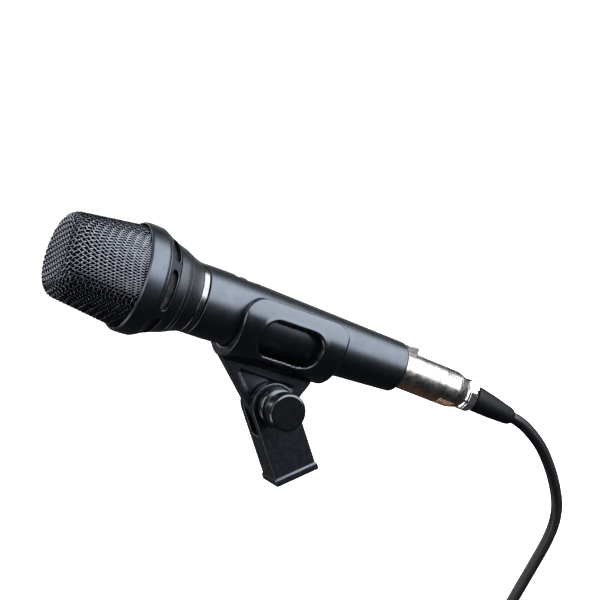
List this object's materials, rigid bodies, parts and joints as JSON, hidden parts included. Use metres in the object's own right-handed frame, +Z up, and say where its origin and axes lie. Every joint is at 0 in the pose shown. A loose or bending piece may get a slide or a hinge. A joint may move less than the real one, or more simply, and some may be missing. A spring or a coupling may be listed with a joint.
{
  "type": "dynamic microphone",
  "caption": "Handheld dynamic vocal microphone with a woven wire grille and a slide switch, held in a tilting stand clip with a thumb knob, and its plugged-in lead.",
  "frame": {"origin": "centre of the stand thread's mouth, in the underside of the clip's base", "axes": "+Z up along the stand's axis; the microphone's axis lies in the XZ plane with its head towards -X and +Z; the thumb knob is at -Y"},
  "size_m": [0.2175, 0.097, 0.4729],
  "materials": {
    "grille_basket": "woven wire, gunmetal, satin",
    "grille_foam": "open-cell foam, black",
    "head_collar": "satin blue-black paint over cast metal",
    "vent_ring": "satin blue-black paint over cast metal",
    "vent_mesh": "fine sieve, black",
    "neck_cone": "satin blue-black paint over cast metal",
    "id_ring": "polished bright band, plain",
    "handle_body": "satin blue-black paint over cast metal",
    "switch_plate": "satin black",
    "switch_slider": "dark grey, satin",
    "switch_body": "moulded",
    "capsule_cover": "moulded, satin",
    "capsule_housing": "moulded, satin",
    "magnet_pot": "turned steel",
    "magnet": "sintered magnet, dark",
    "top_plate": "turned steel",
    "voice_coil": "enamelled copper winding",
    "diaphragm": "thin clear film",
    "shock_mount": "soft rubber",
    "lead_hot": "insulated wire, red",
    "lead_cold": "insulated wire, blue",
    "xlr_insert": "moulded",
    "xlr_pin_1": "plated pin",
    "xlr_pin_2": "plated pin",
    "xlr_pin_3": "plated pin",
    "insert_screw": "small set screw",
    "plug_shell": "worn satin nickel on die-cast shell",
    "plug_insert": "moulded",
    "plug_contact_1": "gilt socket",
    "plug_contact_2": "gilt socket",
    "plug_contact_3": "gilt socket",
    "plug_latch": "stamped tab",
    "latch_spring": "leaf spring",
    "plug_chuck": "moulded chuck",
    "plug_ring": "faceted bright ring",
    "plug_boot": "moulded, matte",
    "cord": "matte jacket, blue-black",
    "cord_coil": "matte jacket, blue-black",
    "cord_tie": "hook-and-loop strap, black",
    "far_boot": "moulded, matte",
    "far_ring": "faceted bright ring",
    "far_shell": "satin nickel on die-cast shell",
    "far_insert": "moulded",
    "far_pin_1": "plated pin",
    "far_pin_2": "plated pin",
    "far_pin_3": "plated pin",
    "clip_cradle": "moulded, satin black",
    "clip_base": "moulded, satin black",
    "thread_insert": "turned bush",
    "pivot_nut": "plated nut",
    "knob_washer": "plated washer",
    "clamp_knob": "moulded, glossy black",
    "clamp_bolt": "plated screw"
  },
  "bodies": {
    "stand_base": {"clip_base": "clip_base", "thread_insert": "thread_insert", "pivot_nut": "pivot_nut"},
    "washer": {"knob_washer": "knob_washer"},
    "knob": {"clamp_knob": "clamp_knob", "clamp_bolt": "clamp_bolt"},
    "clip": {"clip_cradle": "clip_cradle"},
    "microphone": {"grille_basket": "grille_basket", "grille_foam": "grille_foam", "head_collar": "head_collar", "vent_ring": "vent_ring", "vent_mesh": "vent_mesh", "neck_cone": "neck_cone", "id_ring": "id_ring", "handle_body": "handle_body", "switch_plate": "switch_plate", "switch_body": "switch_body", "capsule_cover": "capsule_cover", "capsule_housing": "capsule_housing", "magnet_pot": "magnet_pot", "magnet": "magnet", "top_plate": "top_plate", "shock_mount": "shock_mount", "lead_hot": "lead_hot", "lead_cold": "lead_cold", "xlr_insert": "xlr_insert", "xlr_pin_1": "xlr_pin_1", "xlr_pin_2": "xlr_pin_2", "xlr_pin_3": "xlr_pin_3", "insert_screw": "insert_screw"},
    "voice_coil": {"voice_coil": "voice_coil", "diaphragm": "diaphragm"},
    "switch": {"switch_slider": "switch_slider"},
    "plug": {"plug_shell": "plug_shell", "plug_insert": "plug_insert", "plug_contact_1": "plug_contact_1", "plug_contact_2": "plug_contact_2", "plug_contact_3": "plug_contact_3", "latch_spring": "latch_spring", "plug_chuck": "plug_chuck", "plug_ring": "plug_ring", "plug_boot": "plug_boot", "cord": "cord", "cord_coil": "cord_coil", "cord_tie": "cord_tie", "far_boot": "far_boot", "far_ring": "far_ring", "far_shell": "far_shell", "far_insert": "far_insert", "far_pin_1": "far_pin_1", "far_pin_2": "far_pin_2", "far_pin_3": "far_pin_3"},
    "latch": {"plug_latch": "plug_latch"}
  },
  "joints": [
    {"name": "clip_tilt", "type": "hinge", "parent": "stand_base", "child": "clip", "pos_m": [0, 0, 0.0377], "axis": [0, 1, 0], "range_deg": [-85, 40]},
    {"name": "knob_travel", "type": "slide", "parent": "stand_base", "child": "washer", "axis": [0, -1, 0], "range_m": [0, 0.0016]},
    {"name": "knob_turn", "type": "hinge", "parent": "washer", "child": "knob", "pos_m": [0, 0, 0.0377], "axis": [0, -1, 0], "range_deg": [0, 720]},
    {"name": "mic_slide", "type": "slide", "parent": "clip", "child": "microphone", "axis": [-0.7716, 0, 0.6361], "range_m": [0, 0.093]},
    {"name": "coil_stroke", "type": "slide", "parent": "microphone", "child": "voice_coil", "axis": [-0.7716, 0, 0.6361], "range_m": [-0.0003, 0.0003], "stiffness_N_per_m": 118},
    {"name": "switch_slide", "type": "slide", "parent": "microphone", "child": "switch", "axis": [0.7716, 0, -0.6361], "range_m": [0, 0.003]},
    {"name": "plug_pull", "type": "slide", "parent": "microphone", "child": "plug", "axis": [0.7431, 0, -0.6691], "range_m": [0, 0.02]},
    {"name": "latch_press", "type": "slide", "parent": "plug", "child": "latch", "axis": [-0.6691, 0, -0.7431], "range_m": [0, 0.0008], "stiffness_N_per_m": 500, "springref_m": -0.001}
  ],
  "couplings": [
    {"joint": "knob_turn", "follows": "knob_travel", "rad_per_m": 7854}
  ]
}
